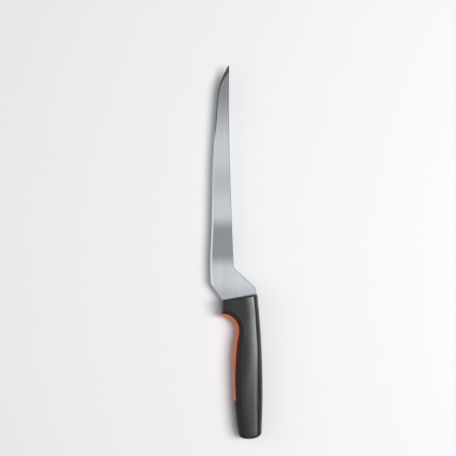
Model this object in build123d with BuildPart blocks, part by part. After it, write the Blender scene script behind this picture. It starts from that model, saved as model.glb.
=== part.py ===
from build123d import *
import os
from math import radians, sin, tan

# Fillet knife lying on its side, in millimetres
# +Y runs from the butt to the tip, +X from the cutting edge to the spine, +Z is up, square to the blade
# The origin is under the middle of the knife, on the surface that it lies on

# Overall
overall_length = 350.0
handle_length = 132.0
overrun = 3.0

# Blade, seen from its side
edge_reach = 24.5
spine_lean = 7.2
heel_rise = 13.0
heel_in = 0.6
heel_round = 1.2
spine_shares = [(0.0, 0.41), (0.154, 0.575), (0.385, 0.79), (0.571, 0.93), (0.78, 1.0), (0.999, 0.97)]
edge_shares = [
    (0.0, 0.0),
    (0.10, 0.035),
    (0.24, -0.03),
    (0.44, -0.08),
    (0.61, -0.15),
    (0.76, -0.27),
    (0.868, -0.365),
    (0.91, -0.45),
    (0.95, -0.63),
    (0.98, -0.81),
    (1.0, -0.94),
]

# Cranked heel, and the root that seats in the handle's front
crank_rise = 27.4
crank_round = 8.0
crank_lead_share = 0.7
root_rise = 9.4
root_round = 5.0
root_lean = 1.8
root_back = 19.1
root_front = 12.3
root_seat = 1.5

# Blade thickness, flat grind and cutting bevel
spine_thickness = 1.5
edge_thickness = 0.3
tip_thickness = 0.7
edge_land = 0.08
bevel_width = 1.7
bevel_reach = 5.0
grind_stop = 1.2

# Tang
tang_x = 11.0
tang_width = 9.0
tang_length = 75.0
tang_round = 4.0
tang_hole = 5.0
tang_hole_shares = [0.42, 0.80]

# Handle, seen from the blade's side
front_slant = 9.9
guard_reach = 14.1
guard_crown = 2.0
rim_round = 1.6
recess_in = 0.95
recess_radius = 12.8
recess_rise = 30.7
back_reach = 24.5
palm_swell = 3.1
butt_radius = 22.0
butt_low_in = 13.0
butt_round = 2.0

# Handle sections, from the back past the underside, and through their thickness
guard_depth = 36.0
neck_depth = 28.0
palm_depth = 27.0
butt_depth = 21.6
guard_shoulder = 6.0
neck_shoulder = 7.0
palm_shoulder = 9.5
butt_shoulder = 7.5
guard_thickness = 18.4
neck_thickness = 18.2
palm_thickness = 19.0
butt_thickness = 17.4
crown_nose = 6.1
crown_lean = 41.5
clear_share = 0.65

# Moulded layers
side_wall = 3.4
edge_wall = 2.6
inlay_depth = 3.2
inlay_end_depth = 2.2
inlay_length = 96.8
cap_thickness = 2.3
spigot_x = 13.5
spigot_length = 9.0
spigot_width = 9.0
spigot_height = 6.0
spigot_gap = 0.15

# Half sections of the handle: share of the shoulder in from the back, and share of the half thickness
shoulder_shares = [(0.0, 0.0), (0.06, 0.34), (0.24, 0.64), (0.53, 0.85), (1.0, 0.96)]

# Beyond the shoulder: share of the depth that is left, and share of the half thickness
flank_shares = [(0.32, 1.0), (0.65, 0.975), (1.0, 0.86), (1.35, 0.66)]

# Stations down the handle: share of its length, share of the back's reach, shoulder, depth and thickness
station_shares = [
    (-0.06, 0.79, guard_shoulder, guard_depth, guard_thickness),
    (0.11, 0.873, guard_shoulder, guard_depth, guard_thickness),
    (0.235, 0.926, neck_shoulder, neck_depth, neck_thickness),
    (0.57, 1.0, palm_shoulder, palm_depth, palm_thickness),
    (0.93, 0.97, butt_shoulder, butt_depth, butt_thickness),
    (1.06, 0.93, butt_shoulder, butt_depth, butt_thickness),
]

# The belly below the recess: share of the handle's length, of the palm's swell, and of the inlay's thinning
belly_shares = [
    (0.306, 0.43, 0.1),
    (0.377, 0.79, 0.1),
    (0.49, 1.0, 0.3),
    (0.58, 0.97, 0.7),
    (0.66, 0.81, 0.9),
    (0.75, 0.60, 1.0),
    (0.83, 0.25, 1.0),
    (0.92, -0.21, 1.0),
    (1.06, -1.25, 1.0),
]

# Places worked out from the sizes
tip_y = overall_length / 2
butt_y = -overall_length / 2
front_y = butt_y + handle_length
heel_y = front_y + heel_rise
blade_length = tip_y - heel_y
crank_y = front_y + crank_rise
spine_y = crank_y + crank_round * crank_lead_share
tang_end = front_y - tang_length
inlay_end = front_y - inlay_length
mid_z = palm_thickness / 2
slope = tan(radians(front_slant))
recess_x = -guard_reach + recess_in
recess_y = front_y - recess_rise
recess_top = recess_y + recess_radius
neck_x = recess_x + recess_radius
butt_low_x = back_reach - butt_low_in
crown_peak = crown_nose / sin(radians(crown_lean)) - crown_nose
crown_depth = palm_thickness / 2 / tan(radians(crown_lean)) - crown_peak
through = palm_thickness + 2 * overrun
below = Plane.XY.offset(-overrun)
middle = Plane.XY.offset(mid_z)
inlay_plane = Plane(origin=(0, inlay_end, 0), z_dir=(0, 1, 0))
front_plane = Plane(origin=(0, front_y, 0), x_dir=(1, slope, 0), z_dir=(-slope, 1, 0))


def along_front(x, rise):
    return (x, front_y + rise + x * slope)


def spine_point(share, lean_share):
    return (-spine_lean * lean_share, spine_y + (tip_y - spine_y) * share)


def edge_point(share, in_share):
    return (-edge_reach + heel_in - (edge_reach - spine_lean) * in_share, heel_y + blade_length * share)


def belly_points(depth, end_depth):
    return [
        (neck_x - palm_swell * swell + depth + (end_depth - depth) * thin, front_y - handle_length * share)
        for share, swell, thin in belly_shares
    ]


def outside_wall(depth, end_depth):
    wall_y = recess_top + depth
    with BuildSketch(below) as space:
        with BuildLine():
            wall_run = Line((-guard_reach - overrun, wall_y), (recess_x, wall_y))
            wall_arc = CenterArc((recess_x, recess_y), recess_radius + depth, 90, -90)
            wall = Spline(wall_arc @ 1, *belly_points(depth, end_depth), tangents=[(0, -1), (0, -1)])
            Polyline(wall @ 1, (-guard_reach - overrun, (wall @ 1).Y), wall_run @ 0)
        make_face()
    return space.sketch


def handle_sections(back_wall, flank_wall):
    sections = []
    for share, back_share, shoulder, depth, thickness in station_shares:
        back = back_reach * back_share - back_wall
        half = thickness / 2 - flank_wall
        turn = back - shoulder
        rest = depth - shoulder
        upper = [(back - shoulder * inward, half * high) for inward, high in shoulder_shares]
        upper += [(turn - rest * inward, half * high) for inward, high in flank_shares]
        lower = [(x, -z) for x, z in upper[1:]]
        station_y = front_y - handle_length * share
        with BuildSketch(Plane(origin=(0, station_y, mid_z), x_dir=(1, 0, 0), z_dir=(0, -1, 0))) as section:
            with BuildLine():
                flank = Spline(*reversed(upper), *lower)
                Line(flank @ 1, flank @ 0)
            make_face()
        sections.append(section.sketch)
    return sections


# Blade: half of one sheet, with its cranked heel, root and tang, then ground, bevelled and mirrored
edge_points = [edge_point(*pair) for pair in edge_shares]
spine_points = [spine_point(*pair) for pair in spine_shares]
crank_point = (spine_points[0][0], crank_y)
root_point = (root_back - root_lean, front_y + root_rise)

# The ground side rises from the cutting edge to the spine and falls towards the tip
heel_x, grind_y = edge_points[1]
edge_corner = Vector(heel_x, grind_y, mid_z + edge_thickness / 2)
spine_corner = Vector(spine_points[0][0], grind_y, mid_z + spine_thickness / 2)
tip_corner = Vector(*edge_points[-1], mid_z + tip_thickness / 2)
across = spine_corner - edge_corner
grind = Plane(edge_corner, x_dir=across, z_dir=across.cross(tip_corner - edge_corner))
bevel_slope = (edge_thickness - edge_land) / 2 / bevel_width + across.Z / across.X

with BuildPart() as blade:
    with BuildSketch(middle):
        with BuildLine():
            edge_line = Spline(*edge_points)
            spine_line = Spline(*reversed(spine_points))
            Line(edge_line @ 1, spine_line @ 0)
            crank_line = FilletPolyline(
                spine_line @ 1,
                crank_point,
                root_point,
                along_front(root_back, -root_seat),
                radius=[crank_round, root_round],
            )
            Line(crank_line @ 1, along_front(-root_front, -root_seat))
            Line(along_front(-root_front, -root_seat), edge_line @ 0)
        make_face()
        with Locations((tang_x, (front_y + tang_end) / 2)):
            Rectangle(tang_width, tang_length)
        fillet(vertices().group_by(Axis.Y)[0], radius=tang_round)
        with Locations(*[(tang_x, front_y - tang_length * share) for share in tang_hole_shares]):
            Circle(tang_hole / 2, mode=Mode.SUBTRACT)
    extrude(amount=spine_thickness / 2)
    fillet(edges().filter_by(Axis.Z).sort_by_distance((*edge_points[0], mid_z))[0], radius=heel_round)

    # Flat grind, from just above the handle to the tip
    with BuildSketch(middle):
        with BuildLine():
            Polyline(
                along_front(-edge_reach - overrun, grind_stop),
                along_front(root_back + overrun, grind_stop),
                (root_back + overrun, tip_y + overrun),
                (-edge_reach - overrun, tip_y + overrun),
                close=True,
            )
        make_face()
    grind_space = extrude(amount=spine_thickness, mode=Mode.PRIVATE)
    add(split(grind_space, bisect_by=grind, keep=Keep.TOP, mode=Mode.PRIVATE), mode=Mode.SUBTRACT)

    # Cutting bevel, along the whole edge
    with BuildLine() as bevel_path:
        bevel_line = Spline(*edge_points)
        Line(bevel_line @ 1, bevel_line @ 1 + (bevel_line % 1) * overrun)
        heel_run = Line(bevel_line @ 0 - (bevel_line % 0) * overrun, bevel_line @ 0)
    with BuildSketch(Plane(heel_run @ 0, x_dir=(-1, 0, 0), z_dir=heel_run % 0)):
        with BuildLine():
            Polyline(
                (0, mid_z + edge_land / 2),
                (-bevel_reach, mid_z + edge_land / 2 + bevel_slope * bevel_reach),
                (-bevel_reach, mid_z + spine_thickness),
                (overrun, mid_z + spine_thickness),
                (overrun, mid_z + edge_land / 2),
                close=True,
            )
        make_face()
    sweep(path=bevel_path.line, mode=Mode.SUBTRACT)
    mirror(about=middle)

# The underside's line: under the guard, round the finger recess and down the belly
with BuildLine() as underside:
    guard_run = Line((-guard_reach - overrun, recess_top), (recess_x, recess_top))
    recess_arc = CenterArc((recess_x, recess_y), recess_radius, 90, -90)
    Spline(recess_arc @ 1, *belly_points(0, 0), tangents=[(0, -1), (0, -1)])

# Spaces that the moulded pieces share: beyond the butt's curve and the cap's seam, outside the inlay and the core
with BuildSketch(below) as butt_space:
    with Locations((butt_low_x, butt_y)):
        Rectangle(2 * butt_radius, 2 * butt_radius)
    with Locations((butt_low_x, butt_y + butt_radius)):
        Circle(butt_radius, mode=Mode.SUBTRACT)

with BuildSketch(below) as cap_space:
    with Locations((butt_low_x, butt_y)):
        Rectangle(2 * butt_radius, 2 * butt_radius)
    with Locations((butt_low_x, butt_y + butt_radius)):
        Circle(butt_radius - cap_thickness, mode=Mode.SUBTRACT)

inlay_space = outside_wall(inlay_depth, inlay_end_depth)
core_space = outside_wall(inlay_depth + edge_wall, inlay_end_depth + edge_wall)

# Outer form of the handle: lofted flanks, cut to the front, the guard, the recess, the belly and the butt
with BuildPart() as form:
    loft(handle_sections(0, 0))
    split(bisect_by=front_plane, keep=Keep.BOTTOM)
    with BuildSketch(Plane(origin=(0, front_y + overrun, 0), x_dir=(1, 0, 0), z_dir=(0, -1, 0))):
        with BuildLine():
            side_crown = ThreePointArc(
                (guard_crown - guard_reach, palm_thickness),
                (-guard_reach, mid_z),
                (guard_crown - guard_reach, 0),
            )
            Polyline(
                side_crown @ 0,
                (guard_crown - guard_reach, palm_thickness + overrun),
                (-back_reach - guard_reach, palm_thickness + overrun),
                (-back_reach - guard_reach, -overrun),
                (guard_crown - guard_reach, -overrun),
                side_crown @ 1,
            )
        make_face()
    extrude(amount=handle_length, mode=Mode.SUBTRACT)
    extrude(butt_space.sketch, amount=through, mode=Mode.SUBTRACT)
    fillet(faces().filter_by(GeomType.CYLINDER).sort_by(Axis.Y)[0].edges(), radius=butt_round)
    fillet(faces().filter_by(front_plane)[0].edges(), radius=rim_round)
    with BuildSketch(below):
        with Locations((recess_x, recess_y)):
            Circle(recess_radius * clear_share)
            Rectangle(2 * recess_radius * clear_share, handle_length, align=(Align.CENTER, Align.MAX))
    extrude(amount=through, mode=Mode.SUBTRACT)
    with BuildSketch(Plane(guard_run @ 0, x_dir=(0, 1, 0), z_dir=(1, 0, 0))):
        with BuildLine():
            crown = FilletPolyline(
                (crown_depth, palm_thickness),
                (-crown_peak, mid_z),
                (crown_depth, 0),
                radius=crown_nose,
            )
            Polyline(
                crown @ 0,
                (crown_depth, palm_thickness + overrun),
                (-recess_radius * clear_share, palm_thickness + overrun),
                (-recess_radius * clear_share, -overrun),
                (crown_depth, -overrun),
                crown @ 1,
            )
        make_face()
    sweep(path=underside.line, mode=Mode.SUBTRACT)

with BuildPart() as end_cap:
    extrude(cap_space.sketch, amount=through)
    add(form.part, mode=Mode.INTERSECT)
    with Locations((spigot_x, butt_y + cap_thickness, mid_z)):
        Box(spigot_width, spigot_length, spigot_height, align=(Align.CENTER, Align.MIN, Align.CENTER))

with BuildPart() as finger_inlay:
    extrude(inlay_space, amount=through)
    split(bisect_by=inlay_plane, keep=Keep.TOP)
    add(form.part, mode=Mode.INTERSECT)

# The core fills the grip from wall to wall, round the tang and the cap's spigot
with BuildPart() as core_block:
    loft(handle_sections(edge_wall, side_wall))
    split(bisect_by=front_plane.offset(-edge_wall), keep=Keep.BOTTOM)
    split(bisect_by=Plane.YZ.offset(edge_wall - guard_reach), keep=Keep.TOP)
    extrude(core_space, amount=through, mode=Mode.SUBTRACT)
    extrude(cap_space.sketch, amount=through, mode=Mode.SUBTRACT)

with BuildPart() as handle_core:
    add(core_block.part)
    with Locations((spigot_x, butt_y, mid_z)):
        Box(
            spigot_width + 2 * spigot_gap,
            cap_thickness + spigot_length + spigot_gap,
            spigot_height + 2 * spigot_gap,
            align=(Align.CENTER, Align.MIN, Align.CENTER),
            mode=Mode.SUBTRACT,
        )
    add(blade.part, mode=Mode.SUBTRACT)

with BuildPart() as soft_grip:
    add(form.part)
    extrude(cap_space.sketch, amount=through, mode=Mode.SUBTRACT)
    add(finger_inlay.part, mode=Mode.SUBTRACT)
    add(core_block.part, mode=Mode.SUBTRACT)
    add(blade.part, mode=Mode.SUBTRACT)

# Label and write each piece
os.makedirs("parts", exist_ok=True)
for name, piece in [
    ("blade", blade),
    ("handle_core", handle_core),
    ("finger_inlay", finger_inlay),
    ("soft_grip", soft_grip),
    ("end_cap", end_cap),
]:
    piece.part.label = name
    export_step(piece.part, f"parts/{name}.step")
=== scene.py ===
import math
import bmesh
import bpy
from bpy.props import FloatProperty, FloatVectorProperty, PointerProperty
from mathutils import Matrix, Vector
from mathutils.bvhtree import BVHTree


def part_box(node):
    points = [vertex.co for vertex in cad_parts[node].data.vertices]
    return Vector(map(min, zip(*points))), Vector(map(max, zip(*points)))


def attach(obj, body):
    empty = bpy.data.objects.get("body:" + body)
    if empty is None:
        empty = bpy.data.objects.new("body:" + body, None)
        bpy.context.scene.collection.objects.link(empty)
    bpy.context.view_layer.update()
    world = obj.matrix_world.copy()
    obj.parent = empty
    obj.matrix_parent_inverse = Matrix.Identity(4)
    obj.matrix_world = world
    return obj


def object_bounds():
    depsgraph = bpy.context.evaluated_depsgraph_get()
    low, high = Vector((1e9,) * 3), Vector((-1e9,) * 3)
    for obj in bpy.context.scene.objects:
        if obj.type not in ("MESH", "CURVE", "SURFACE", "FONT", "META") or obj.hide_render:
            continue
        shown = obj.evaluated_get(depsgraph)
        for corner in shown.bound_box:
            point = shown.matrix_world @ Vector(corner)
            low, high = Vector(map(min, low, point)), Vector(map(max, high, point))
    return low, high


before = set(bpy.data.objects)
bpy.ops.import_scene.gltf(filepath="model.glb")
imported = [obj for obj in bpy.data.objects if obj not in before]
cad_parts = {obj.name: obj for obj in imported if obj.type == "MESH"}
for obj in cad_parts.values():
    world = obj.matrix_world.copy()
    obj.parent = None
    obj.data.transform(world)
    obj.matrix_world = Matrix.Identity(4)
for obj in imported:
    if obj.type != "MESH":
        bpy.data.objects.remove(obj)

bl_info = {
    "name": "Fillet knife",
    "version": (1, 0, 0),
    "blender": (4, 5, 0),
    "location": "View3D > Sidebar > Fillet knife",
    "description": (
        "Finishes a fillet knife with a brushed blade and a moulded handle, "
        "and sets it on a studio floor"
    ),
    "category": "Object",
}

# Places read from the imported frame. All lengths in this file are in metres.
CAD_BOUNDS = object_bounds()
BLADE_LOW, BLADE_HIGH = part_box("blade")
BLADE_TIP = BLADE_HIGH[1]
BLADE_MID_Z = (BLADE_LOW[2] + BLADE_HIGH[2]) / 2
GRIP_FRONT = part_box("soft_grip")[1][1]

# Blade: bands of painted shade that lie across it where its reflections look darker, as middle,
# half width of the core, half width, depth
BLADE_SHADE_BANDS = (
    (-0.0440, 0.002, 0.017, 0.40),
    (0.0090, 0.0105, 0.026, 0.86),
    (0.0660, 0.002, 0.022, 0.24),
)
# Distances behind the tip at which painted shade starts on the steel and the bevel, is full on the
# steel, and is full on the bevel
TIP_START = 0.075
TIP_SHADE_FULL = 0.02
TIP_BEVEL = 0.055
# How far the painted shade at the tip goes toward its dark tone
TIP_SHADE_DEPTH = 0.95
# Tones, as multiples of the steel's own colour
BRUSH_TONES = (0.93, 1.06)
POLISH_TONE = 1.12
# Tone of the painted shade in the bands and toward the tip
PAINTED_SHADE_TONE = 0.42
ROUGHNESS_SWING = 0.03
# Parts of a face's normal that tell the cutting bevel from the flat grind and from the edges
BEVEL_TURN = (0.055, 0.075)
BEVEL_UP = (0.8, 0.9)
CORNER_ROUGHNESS = 0.35

# Handle: the cap's seam runs inside the butt's curve, a wall's thickness away from it
BUTT_CENTRE_X = 0.0115
BUTT_RADIUS = 0.022
CAP_WALL = 0.0023
SEAM_FADE = (0.00012, 0.00035)
SEAM_DEPTH = 0.0003
CORE_ROUGHER = 0.1
CAP_SMOOTHER = 0.08

# Thin lines: the joints round the inlay and the cap, and the corners of the spine
WELD = 0.000002
SHARP_ANGLE = math.radians(25.0)
SKIN_GAP = 0.00004
LONGEST_GAP = 0.003
LINE_SPACING = 0.0006
LINE_SIDES = 8

# Stage: each lamp's name, place, aim, size and watts
LAMPS = (
    ("right_panel", (1.10, 0.01, 1.515), (0.0, 0.01, 0.0), (0.525, 0.93), 22.0),
    ("right_fill", (0.5625, 0.055, 1.785), (0.0, 0.055, 0.0), (0.525, 0.45), 6.8),
    ("palm_fill", (0.36, -0.21, 1.76), (0.0, -0.21, 0.0), (0.17, 0.28), 0.8),
    ("butt_fill", (1.10, -0.56, 1.5), (0.0, -0.12, 0.0), (0.30, 0.22), 2.2),
    ("left_fill", (-1.2, 0.0, 0.8), (0.0, 0.0, 0.0), (1.4, 0.8), 3.6),
    ("top_panel", (0.0, 0.0, 1.8), (0.0, 0.0, 0.0), (2.2, 2.2), 5.8),
)
FLOOR_HALF = 6.0
FLOOR_TILES = 8
SEEN_WORLD = (0.86, 0.86, 0.87, 1.0)
SEEN_IN_GLOSS = 0.25
SENSOR_WIDTH = 36.0
LENS = 100.0


# Settings


def length(name, description, default, low, high):
    return FloatProperty(
        name=name, description=description, default=default, min=low, max=high, unit="LENGTH"
    )


def share(name, description, default):
    return FloatProperty(
        name=name, description=description, default=default, min=0.0, max=1.0, subtype="FACTOR"
    )


def colour(name, description, default):
    return FloatVectorProperty(
        name=name, description=description, default=default,
        size=3, min=0.0, max=1.0, subtype="COLOR",
    )


class KnifeBladeSettings(bpy.types.PropertyGroup):
    steel: colour("Steel", "Colour of the brushed stainless steel", (0.745, 0.80, 0.825))
    # The bevel's colour, brighter than the steel, is a painted highlight along the cutting edge
    bevel: colour("Bevel", "Colour of the freshly ground cutting bevel", (0.92, 0.97, 0.99))
    # Near the tip the bevel turns dark: painted shade
    bevel_tip_shade: colour(
        "Bevel at the tip", "Colour of the bevel where it runs round the tip", (0.12, 0.125, 0.135)
    )
    roughness: share("Roughness", "How far the brushed steel spreads its reflections", 0.13)
    line_width: length("Brush line", "Width of one brush line", 0.00035, 0.00005, 0.01)
    line_length: length("Brush line length", "Length of one brush line", 0.03, 0.001, 0.5)
    line_depth: length("Brush depth", "Depth of the brush lines", 0.00001, 0.0, 0.001)
    cloud_length: length(
        "Polish patch", "Length of the soft patches that polishing leaves", 0.055, 0.005, 0.5
    )
    corner: colour(
        "Spine corners", "Colour of the eased corners of the spine", (0.14, 0.145, 0.155)
    )
    corner_width: length(
        "Corner width", "Width of the eased corners of the spine", 0.00045, 0.00005, 0.005
    )


class KnifeHandleSettings(bpy.types.PropertyGroup):
    grip: colour("Grip", "Colour of the soft black grip", (0.006, 0.0062, 0.007))
    inlay: colour("Inlay", "Colour of the orange inlay", (0.81, 0.14, 0.035))
    cap: colour("Cap", "Colour of the end cap", (0.03, 0.03, 0.034))
    core: colour("Core", "Colour of the hard core", (0.05, 0.05, 0.055))
    roughness: share("Roughness", "How far the grip spreads its reflections", 0.28)
    grain: length("Grain", "Width of one pit of the moulded grain", 0.0004, 0.00005, 0.01)
    grain_depth: length("Grain depth", "Depth of the moulded grain", 0.00001, 0.0, 0.001)
    seam_width: length(
        "Seam", "Width of the joint line between two mouldings", 0.0004, 0.00005, 0.005
    )


class KnifeStageSettings(bpy.types.PropertyGroup):
    floor: colour("Floor", "Colour of the floor", (0.84, 0.84, 0.85))
    view_width: length("View width", "Width that the camera takes in", 0.4285, 0.05, 5.0)
    view_x: length("View X", "Middle of the view across the knife", -0.0079, -1.0, 1.0)
    view_y: length("View Y", "Middle of the view along the knife", 0.0223, -1.0, 1.0)
    daylight: share("World", "Strength of the plain light from all sides", 0.12)


# Node helpers


def new_finish(name):
    """A node material with its shader and the place on the object."""
    finish = bpy.data.materials.new(name)
    finish.use_nodes = True
    tree = finish.node_tree
    shader = tree.nodes["Principled BSDF"]
    place = tree.nodes.new("ShaderNodeTexCoord").outputs["Object"]
    return finish, tree, shader, place


def join(tree, source, target):
    tree.links.new(source, target)


def stretched(tree, place, scale):
    """The place with each axis multiplied, so that a pattern on it is drawn out."""
    mapping = tree.nodes.new("ShaderNodeMapping")
    mapping.inputs["Scale"].default_value = scale
    join(tree, place, mapping.inputs["Vector"])
    return mapping.outputs["Vector"]


def noise(tree, vector, scale, detail=2.0, rough=0.5):
    node = tree.nodes.new("ShaderNodeTexNoise")
    node.inputs["Scale"].default_value = scale
    node.inputs["Detail"].default_value = detail
    node.inputs["Roughness"].default_value = rough
    join(tree, vector, node.inputs["Vector"])
    return node.outputs["Fac"]


def maths(tree, operation, first, second=None):
    """A Math node on one or two values, each a number or a socket."""
    node = tree.nodes.new("ShaderNodeMath")
    node.operation = operation
    for socket, value in zip(node.inputs, (first, second)):
        if value is None:
            continue
        if isinstance(value, (int, float)):
            socket.default_value = value
        else:
            join(tree, value, socket)
    return node.outputs["Value"]


def spread(tree, value, low, high, to_low=0.0, to_high=1.0, smooth=False):
    """The value, stretched from one range to another and held at its ends."""
    node = tree.nodes.new("ShaderNodeMapRange")
    node.interpolation_type = "SMOOTHSTEP" if smooth else "LINEAR"
    node.clamp = True
    names = ("From Min", "From Max", "To Min", "To Max")
    for name, number in zip(names, (low, high, to_low, to_high)):
        node.inputs[name].default_value = number
    join(tree, value, node.inputs["Value"])
    return node.outputs["Result"]


def mixed(tree, share_of_second, first, second):
    """A mix of two colours, each a tuple or a socket."""
    node = tree.nodes.new("ShaderNodeMix")
    node.data_type = "RGBA"
    join(tree, share_of_second, node.inputs["Factor"])
    # Sockets 6 and 7 are the node's two colours, and output 2 is its colour
    for socket, value in ((node.inputs[6], first), (node.inputs[7], second)):
        if isinstance(value, (tuple, list)):
            socket.default_value = (*value, 1.0)
        else:
            join(tree, value, socket)
    return node.outputs[2]


def shade(base, factor):
    return tuple(min(1.0, part * factor) for part in base)


def bumped(tree, shader, height, depth, below=None):
    """Presses a height into the shader's normal, over an earlier bump if there is one."""
    node = tree.nodes.new("ShaderNodeBump")
    node.inputs["Strength"].default_value = 1.0
    node.inputs["Distance"].default_value = depth
    join(tree, height, node.inputs["Height"])
    if below is not None:
        join(tree, below, node.inputs["Normal"])
    join(tree, node.outputs["Normal"], shader.inputs["Normal"])
    return node.outputs["Normal"]


def axes(tree, vector):
    node = tree.nodes.new("ShaderNodeSeparateXYZ")
    join(tree, vector, node.inputs["Vector"])
    return node.outputs["X"], node.outputs["Y"], node.outputs["Z"]


def dress(obj, finish):
    """Gives a CAD node its finish in every one of its material slots."""
    if not obj.material_slots:
        obj.data.materials.append(finish)
    for held in obj.material_slots:
        held.material = finish


# Finishes


def brushed_steel(settings):
    """Stainless steel brushed along the blade, with a painted highlight on the ground bevel,
    painted shade on the bevel near the tip, and painted shade toward the tip and in bands across
    the blade.
    """
    finish, tree, shader, place = new_finish("brushed_steel")
    across, along = 1.0 / settings.line_width, 1.0 / settings.line_length
    patch = 1.0 / settings.cloud_length
    fine_place = stretched(tree, place, (across, along, along))
    fine = noise(tree, fine_place, 1.0, 3.0, 0.6)
    coarse_place = stretched(tree, place, (across * 0.22, along * 0.3, along))
    coarse = noise(tree, coarse_place, 1.0, 2.0, 0.5)
    cloud_place = stretched(tree, place, (patch * 0.6, patch, patch))
    cloud = noise(tree, cloud_place, 1.0, 1.0, 0.4)
    _, y, _ = axes(tree, place)

    # Painted shade: darker toward the tip and in bands across the blade, where its reflections
    # look darker
    painted_shade = spread(tree, y, BLADE_TIP - TIP_START, BLADE_TIP - TIP_SHADE_FULL, 0.0, TIP_SHADE_DEPTH, True)
    for middle, core, reach, depth in BLADE_SHADE_BANDS:
        off = maths(tree, "ABSOLUTE", maths(tree, "SUBTRACT", y, middle))
        painted_shade = maths(tree, "MAXIMUM", painted_shade, spread(tree, off, core, reach, depth, 0.0, True))
    half_fine = maths(tree, "MULTIPLY", fine, 0.5)
    half_coarse = maths(tree, "MULTIPLY", coarse, 0.5)
    lines = maths(tree, "ADD", half_fine, half_coarse)
    darker, lighter = (shade(settings.steel, tone) for tone in BRUSH_TONES)
    tone = mixed(tree, spread(tree, lines, 0.3, 0.7), darker, lighter)
    polish = spread(tree, cloud, 0.35, 0.65, 0.0, 0.35, True)
    tone = mixed(tree, polish, tone, shade(settings.steel, POLISH_TONE))
    tone = mixed(tree, painted_shade, tone, shade(settings.steel, PAINTED_SHADE_TONE))

    facing = tree.nodes.new("ShaderNodeNewGeometry").outputs["True Normal"]
    turned, _, up = axes(tree, facing)
    ground = spread(tree, maths(tree, "ABSOLUTE", turned), *BEVEL_TURN)
    flat = spread(tree, maths(tree, "ABSOLUTE", up), *BEVEL_UP)
    bevel = maths(tree, "MULTIPLY", ground, flat)
    # The bevel carries a painted highlight that turns into painted shade near the tip
    near_tip = spread(tree, y, BLADE_TIP - TIP_START, BLADE_TIP - TIP_BEVEL, 0.0, 1.0, True)
    bevel_light_and_shade = mixed(tree, near_tip, tuple(settings.bevel), tuple(settings.bevel_tip_shade))
    tone = mixed(tree, bevel, tone, bevel_light_and_shade)
    join(tree, tone, shader.inputs["Base Color"])

    shader.inputs["Metallic"].default_value = 1.0
    low, high = settings.roughness - ROUGHNESS_SWING, settings.roughness + ROUGHNESS_SWING
    join(tree, spread(tree, lines, 0.3, 0.7, low, high), shader.inputs["Roughness"])
    bumped(tree, shader, lines, settings.line_depth)
    return finish


def eased_steel(settings):
    """The stoned corners of the spine: the same steel, darker because they look past the lamps."""
    finish, tree, shader, place = new_finish("eased_steel")
    marks = noise(tree, stretched(tree, place, (900.0, 150.0, 900.0)), 1.0)
    tone = mixed(tree, marks, shade(settings.corner, 0.8), shade(settings.corner, 1.2))
    join(tree, tone, shader.inputs["Base Color"])
    shader.inputs["Metallic"].default_value = 1.0
    shader.inputs["Roughness"].default_value = CORNER_ROUGHNESS
    return finish


def moulded_grain(tree, shader, place, grain, depth, seam=None):
    """Fine spark-eroded grain, with the seam pressed into it where there is one."""
    pits = noise(tree, place, 1.0 / grain, 2.0, 0.6)
    grained = bumped(tree, shader, pits, depth)
    if seam is not None:
        bumped(tree, shader, seam, SEAM_DEPTH, grained)
    return pits


def cap_seam(tree, place):
    """0 on the cap's seam and 1 away from it: a ring about the middle of the butt's curve."""
    centre_y = CAD_BOUNDS[0][1] + BUTT_RADIUS
    x, y, _ = axes(tree, place)
    dx = maths(tree, "SUBTRACT", x, BUTT_CENTRE_X)
    dy = maths(tree, "SUBTRACT", y, centre_y)
    square_x = maths(tree, "MULTIPLY", dx, dx)
    square_y = maths(tree, "MULTIPLY", dy, dy)
    reach = maths(tree, "SQRT", maths(tree, "ADD", square_x, square_y))
    off = maths(tree, "ABSOLUTE", maths(tree, "SUBTRACT", reach, BUTT_RADIUS - CAP_WALL))
    near_butt = spread(tree, y, centre_y, centre_y + 0.001)
    return maths(tree, "MAXIMUM", spread(tree, off, *SEAM_FADE, 0.0, 1.0, True), near_butt)


def soft_black(settings, name, base, roughness, seamed):
    """Black moulded skin: matt in its grain, a little polished where the hand rubs it."""
    finish, tree, shader, place = new_finish(name)
    seam = cap_seam(tree, place) if seamed else None
    pits = moulded_grain(tree, shader, place, settings.grain, settings.grain_depth, seam)
    rubbed = noise(tree, place, 45.0, 3.0, 0.55)
    tone = mixed(tree, spread(tree, pits, 0.35, 0.65), shade(base, 0.8), shade(base, 1.25))
    tone = mixed(tree, spread(tree, rubbed, 0.4, 0.7, 0.0, 0.1), tone, shade(base, 1.5))
    if seamed:
        tone = mixed(tree, seam, shade(base, 0.15), tone)
    join(tree, tone, shader.inputs["Base Color"])
    worn = spread(tree, rubbed, 0.35, 0.7, roughness + 0.01, roughness - 0.01)
    join(tree, worn, shader.inputs["Roughness"])
    shader.inputs["Specular IOR Level"].default_value = 0.5
    return finish


def inlay_orange(settings):
    """Orange moulded plastic with a fine grain and slightly uneven pigment."""
    finish, tree, shader, place = new_finish("inlay_orange")
    pits = moulded_grain(tree, shader, place, settings.grain * 1.2, settings.grain_depth * 0.6)
    flow = noise(tree, stretched(tree, place, (90.0, 25.0, 90.0)), 1.0)
    base = tuple(settings.inlay)
    tone = mixed(tree, spread(tree, flow, 0.35, 0.65), shade(base, 0.93), shade(base, 1.05))
    tone = mixed(tree, spread(tree, pits, 0.3, 0.5, 0.25, 0.0), tone, shade(base, 0.7))
    join(tree, tone, shader.inputs["Base Color"])
    join(tree, spread(tree, pits, 0.3, 0.7, 0.42, 0.34), shader.inputs["Roughness"])
    return finish


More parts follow.
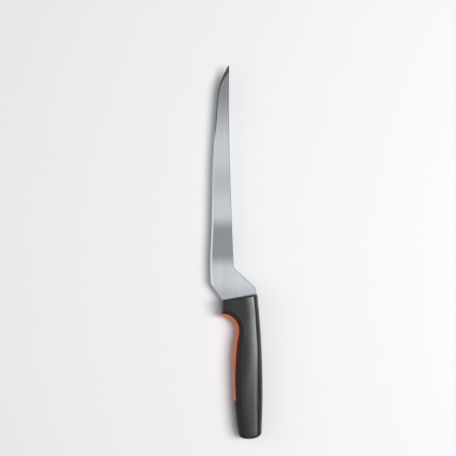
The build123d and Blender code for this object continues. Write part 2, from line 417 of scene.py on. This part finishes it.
def joint_black():
    """The shadow in a joint: black, matt and slightly dusty."""
    finish, tree, shader, place = new_finish("joint_black")
    tone = mixed(tree, noise(tree, place, 900.0), (0.002, 0.002, 0.002), (0.008, 0.008, 0.009))
    join(tree, tone, shader.inputs["Base Color"])
    shader.inputs["Roughness"].default_value = 0.85
    shader.inputs["Specular IOR Level"].default_value = 0.1
    return finish


def floor_paper(settings):
    """Pale matt paper with a barely uneven tone."""
    finish, tree, shader, place = new_finish("floor_paper")
    base = tuple(settings.floor)
    tone = mixed(tree, noise(tree, place, 30.0), shade(base, 0.995), shade(base, 1.005))
    join(tree, tone, shader.inputs["Base Color"])
    shader.inputs["Roughness"].default_value = 0.9
    shader.inputs["Specular IOR Level"].default_value = 0.1
    return finish


# Pieces of the frame


class KnifeOperator:
    bl_options = {"REGISTER", "UNDO"}


class OBJECT_OT_knife_blade(KnifeOperator, bpy.types.Operator):
    """Finish the blade in brushed steel"""

    bl_idname = "object.knife_blade"
    bl_label = "Blade"

    def execute(self, context):
        dress(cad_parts["blade"], brushed_steel(context.scene.knife_blade))
        return {"FINISHED"}


class OBJECT_OT_knife_handle(KnifeOperator, bpy.types.Operator):
    """Finish the core, the soft grip and the end cap"""

    bl_idname = "object.knife_handle"
    bl_label = "Core, grip and cap"

    def execute(self, context):
        settings = context.scene.knife_handle
        rough = settings.roughness
        for node, name, base, roughness, seamed in (
            ("handle_core", "core_black", settings.core, rough + CORE_ROUGHER, False),
            ("soft_grip", "grip_black", settings.grip, rough, True),
            ("end_cap", "cap_black", settings.cap, rough - CAP_SMOOTHER, True),
        ):
            dress(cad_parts[node], soft_black(settings, name, tuple(base), roughness, seamed))
        return {"FINISHED"}


class OBJECT_OT_knife_inlay(KnifeOperator, bpy.types.Operator):
    """Finish the orange inlay of the guard, the finger recess and the belly"""

    bl_idname = "object.knife_inlay"
    bl_label = "Finger inlay"

    def execute(self, context):
        dress(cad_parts["finger_inlay"], inlay_orange(context.scene.knife_handle))
        return {"FINISHED"}


# Thin lines along the joints between the mouldings and the spine's corners


def close_gaps(wire):
    """Joins each open end of a wire to the nearest other one, where a short edge was left out."""
    loose = [vert for vert in wire.verts if len(vert.link_edges) == 1]
    while len(loose) > 1:
        vert = loose.pop()
        other = min(loose, key=lambda each: (each.co - vert.co).length)
        near = (other.co - vert.co).length < LONGEST_GAP
        if near and wire.edges.get((vert, other)) is None:
            loose.remove(other)
            wire.edges.new((vert, other))


def sharp_edges(piece, wanted, closed=False):
    """The sharp edges of a piece that the test picks, as a wire mesh."""
    shape = bmesh.new()
    shape.from_mesh(piece.data)
    bmesh.ops.remove_doubles(shape, verts=shape.verts, dist=WELD)
    wire = bmesh.new()
    ends = {}
    for edge in shape.edges:
        if len(edge.link_faces) != 2 or edge.calc_face_angle(0.0) < SHARP_ANGLE:
            continue
        if not wanted(edge):
            continue
        for vert in edge.verts:
            if vert not in ends:
                ends[vert] = wire.verts.new(vert.co)
        wire.edges.new([ends[vert] for vert in edge.verts])
    if closed:
        close_gaps(wire)
    mesh = bpy.data.meshes.new(piece.name + "_edges")
    wire.to_mesh(mesh)
    shape.free()
    wire.free()
    if not mesh.edges:
        raise RuntimeError("no edge was found on " + piece.name)
    return mesh


def joint_edges(piece, neighbour):
    """The edges where a moulding's skin meets its neighbour's."""
    around = bmesh.new()
    around.from_mesh(neighbour.data)
    skin = BVHTree.FromBMesh(around)
    around.free()

    def touches(place):
        return skin.find_nearest(place, SKIN_GAP)[0] is not None

    def meets(edge):
        if not touches(sum((vert.co for vert in edge.verts), Vector()) / 2):
            return False
        inner, outer = (touches(face.calc_center_median()) for face in edge.link_faces)
        return inner != outer

    return sharp_edges(piece, meets, closed=True)


def spine_edges(blade):
    """The two corners of the blade's spine, from the front of the handle to the tip."""

    def along_spine(edge):
        normals = [face.normal for face in edge.link_faces]
        side, flat = sorted(normals, key=lambda normal: abs(normal.z))
        clear = any(vert.co.y > GRIP_FRONT for vert in edge.verts)
        return clear and side.x > 0.4 and abs(flat.z) > 0.9

    return sharp_edges(blade, along_spine)


def line_tree(name, finish):
    """A thin line along some edges: a path, its even points, a round section and its finish."""
    tree = bpy.data.node_groups.new(name, "GeometryNodeTree")
    face = tree.interface
    face.new_socket("Edges", in_out="INPUT", socket_type="NodeSocketGeometry")
    sockets = {}
    for label, low in (("Width", 0.00005), ("Spacing", 0.0002)):
        socket = face.new_socket(label, in_out="INPUT", socket_type="NodeSocketFloat")
        socket.subtype = "DISTANCE"
        socket.min_value = low
        sockets[label] = socket.identifier
    face.new_socket("Line", in_out="OUTPUT", socket_type="NodeSocketGeometry")
    enter = tree.nodes.new("NodeGroupInput")
    leave = tree.nodes.new("NodeGroupOutput")
    path = tree.nodes.new("GeometryNodeMeshToCurve")
    even = tree.nodes.new("GeometryNodeResampleCurve")
    even.mode = "LENGTH"
    half = tree.nodes.new("ShaderNodeMath")
    half.operation = "MULTIPLY"
    half.inputs[1].default_value = 0.5
    section = tree.nodes.new("GeometryNodeCurvePrimitiveCircle")
    section.inputs["Resolution"].default_value = LINE_SIDES
    sweep = tree.nodes.new("GeometryNodeCurveToMesh")
    sweep.inputs["Fill Caps"].default_value = True
    real = tree.nodes.new("GeometryNodeRealizeInstances")
    coat = tree.nodes.new("GeometryNodeSetMaterial")
    coat.inputs["Material"].default_value = finish
    for source, target in (
        (enter.outputs["Edges"], path.inputs["Mesh"]),
        (path.outputs["Curve"], even.inputs["Curve"]),
        (enter.outputs["Spacing"], even.inputs["Length"]),
        (enter.outputs["Width"], half.inputs[0]),
        (half.outputs[0], section.inputs["Radius"]),
        (even.outputs["Curve"], sweep.inputs["Curve"]),
        (section.outputs["Curve"], sweep.inputs["Profile Curve"]),
        (sweep.outputs["Mesh"], real.inputs["Geometry"]),
        (real.outputs["Geometry"], coat.inputs["Geometry"]),
        (coat.outputs["Geometry"], leave.inputs["Line"]),
    ):
        join(tree, source, target)
    return tree, sockets


def line_along(name, wire, tree, sockets, width):
    """Runs the line tree on a wire and keeps its result as a plain mesh."""
    guide = bpy.data.objects.new(name + "_guide", wire)
    bpy.context.scene.collection.objects.link(guide)
    change = guide.modifiers.new(name, "NODES")
    change.node_group = tree
    change[sockets["Width"]] = width
    change[sockets["Spacing"]] = LINE_SPACING
    graph = bpy.context.evaluated_depsgraph_get()
    mesh = bpy.data.meshes.new_from_object(guide.evaluated_get(graph))
    guide.modifiers.remove(change)
    bpy.data.objects.remove(guide)
    for polygon in mesh.polygons:
        polygon.use_smooth = True
    mesh.name = name
    line = bpy.data.objects.new(name, mesh)
    bpy.context.scene.collection.objects.link(line)
    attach(line, "root")


class OBJECT_OT_knife_joints(KnifeOperator, bpy.types.Operator):
    """Press the joint lines round the inlay and the end cap"""

    bl_idname = "object.knife_joints"
    bl_label = "Joint lines"

    def execute(self, context):
        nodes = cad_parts
        tree, sockets = line_tree("joint_line", joint_black())
        width = context.scene.knife_handle.seam_width
        for piece in ("finger_inlay", "end_cap"):
            wire = joint_edges(nodes[piece], nodes["soft_grip"])
            line_along(piece + "_joint", wire, tree, sockets, width)
        return {"FINISHED"}


class OBJECT_OT_knife_spine(KnifeOperator, bpy.types.Operator):
    """Ease the two corners of the blade's spine"""

    bl_idname = "object.knife_spine"
    bl_label = "Spine corners"

    def execute(self, context):
        settings = context.scene.knife_blade
        tree, sockets = line_tree("spine_corner", eased_steel(settings))
        wire = spine_edges(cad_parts["blade"])
        line_along("blade_spine_corners", wire, tree, sockets, settings.corner_width)
        return {"FINISHED"}


# Stage


def studio_lamp(name, place, aim, size, watts):
    """A rectangular area lamp that is turned toward its aim."""
    data = bpy.data.lights.new(name, "AREA")
    data.shape = "RECTANGLE"
    data.size, data.size_y = size
    data.energy = watts
    obj = bpy.data.objects.new(name, data)
    bpy.context.scene.collection.objects.link(obj)
    obj.location = place
    obj.rotation_euler = (Vector(aim) - Vector(place)).to_track_quat("-Z", "Y").to_euler()


def studio_floor(settings):
    """A plain pale sheet that runs out under the horizon."""
    mesh = bpy.data.meshes.new("studio_floor")
    shape = bmesh.new()
    bmesh.ops.create_grid(shape, x_segments=FLOOR_TILES, y_segments=FLOOR_TILES, size=FLOOR_HALF)
    shape.to_mesh(mesh)
    shape.free()
    floor = bpy.data.objects.new("studio_floor", mesh)
    bpy.context.scene.collection.objects.link(floor)
    mesh.materials.append(floor_paper(settings))


def studio_world(strength):
    """A weak white light from all sides, seen as a pale background, and partly so in gloss."""
    world = bpy.data.worlds.new("studio_world")
    world.use_nodes = True
    tree = world.node_tree
    light = tree.nodes["Background"]
    light.inputs["Color"].default_value = (1.0, 1.0, 1.0, 1.0)
    light.inputs["Strength"].default_value = strength
    seen = tree.nodes.new("ShaderNodeBackground")
    seen.inputs["Color"].default_value = SEEN_WORLD
    path = tree.nodes.new("ShaderNodeLightPath")
    choice = tree.nodes.new("ShaderNodeMixShader")
    mirrored = maths(tree, "MULTIPLY", path.outputs["Is Glossy Ray"], SEEN_IN_GLOSS)
    seen_share = maths(tree, "MAXIMUM", path.outputs["Is Camera Ray"], mirrored)
    join(tree, seen_share, choice.inputs["Fac"])
    join(tree, light.outputs[0], choice.inputs[1])
    join(tree, seen.outputs[0], choice.inputs[2])
    join(tree, choice.outputs[0], tree.nodes["World Output"].inputs["Surface"])
    bpy.context.scene.world = world


def front_camera(settings):
    """A camera straight above the knife, high enough to take in the view's width."""
    data = bpy.data.cameras.new("front_camera")
    data.type = "PERSP"
    data.sensor_width = SENSOR_WIDTH
    data.lens = LENS
    camera = bpy.data.objects.new("front_camera", data)
    bpy.context.scene.collection.objects.link(camera)
    height = settings.view_width / (SENSOR_WIDTH / LENS)
    camera.location = (settings.view_x, settings.view_y, BLADE_MID_Z + height)
    camera.rotation_euler = (0.0, 0.0, 0.0)
    bpy.context.scene.camera = camera


class OBJECT_OT_knife_stage(KnifeOperator, bpy.types.Operator):
    """Set the floor, the lamps, the world and the camera straight above the knife"""

    bl_idname = "object.knife_stage"
    bl_label = "Stage"

    def execute(self, context):
        settings = context.scene.knife_stage
        studio_floor(settings)
        studio_world(settings.daylight)
        for lamp in LAMPS:
            studio_lamp(*lamp)
        front_camera(settings)
        context.scene.view_settings.view_transform = "Standard"
        return {"FINISHED"}


class VIEW3D_PT_knife(bpy.types.Panel):
    """Lists the knife's settings and pieces"""

    bl_idname = "VIEW3D_PT_knife"
    bl_label = "Fillet knife"
    bl_space_type = "VIEW_3D"
    bl_region_type = "UI"
    bl_category = "Fillet knife"

    def draw(self, context):
        layout = self.layout
        for name in GROUPS:
            group = getattr(context.scene, name)
            box = layout.box()
            for setting in group.__annotations__:
                box.prop(group, setting)
        for operator in PIECES:
            layout.operator(operator.bl_idname)


GROUPS = {
    "knife_blade": KnifeBladeSettings,
    "knife_handle": KnifeHandleSettings,
    "knife_stage": KnifeStageSettings,
}
PIECES = (
    OBJECT_OT_knife_stage,
    OBJECT_OT_knife_blade,
    OBJECT_OT_knife_handle,
    OBJECT_OT_knife_inlay,
    OBJECT_OT_knife_joints,
    OBJECT_OT_knife_spine,
)


def register():
    for name, group in GROUPS.items():
        bpy.utils.register_class(group)
        setattr(bpy.types.Scene, name, PointerProperty(type=group))
    for operator in PIECES:
        bpy.utils.register_class(operator)
    bpy.utils.register_class(VIEW3D_PT_knife)


def unregister():
    bpy.utils.unregister_class(VIEW3D_PT_knife)
    for operator in reversed(PIECES):
        bpy.utils.unregister_class(operator)
    for name, group in reversed(GROUPS.items()):
        delattr(bpy.types.Scene, name)
        bpy.utils.unregister_class(group)


def main():
    register()
    bpy.ops.object.knife_stage()
    bpy.ops.object.knife_blade()
    bpy.ops.object.knife_handle()
    bpy.ops.object.knife_inlay()
    bpy.ops.object.knife_joints()
    bpy.ops.object.knife_spine()


if __name__ == "__main__":
    main()
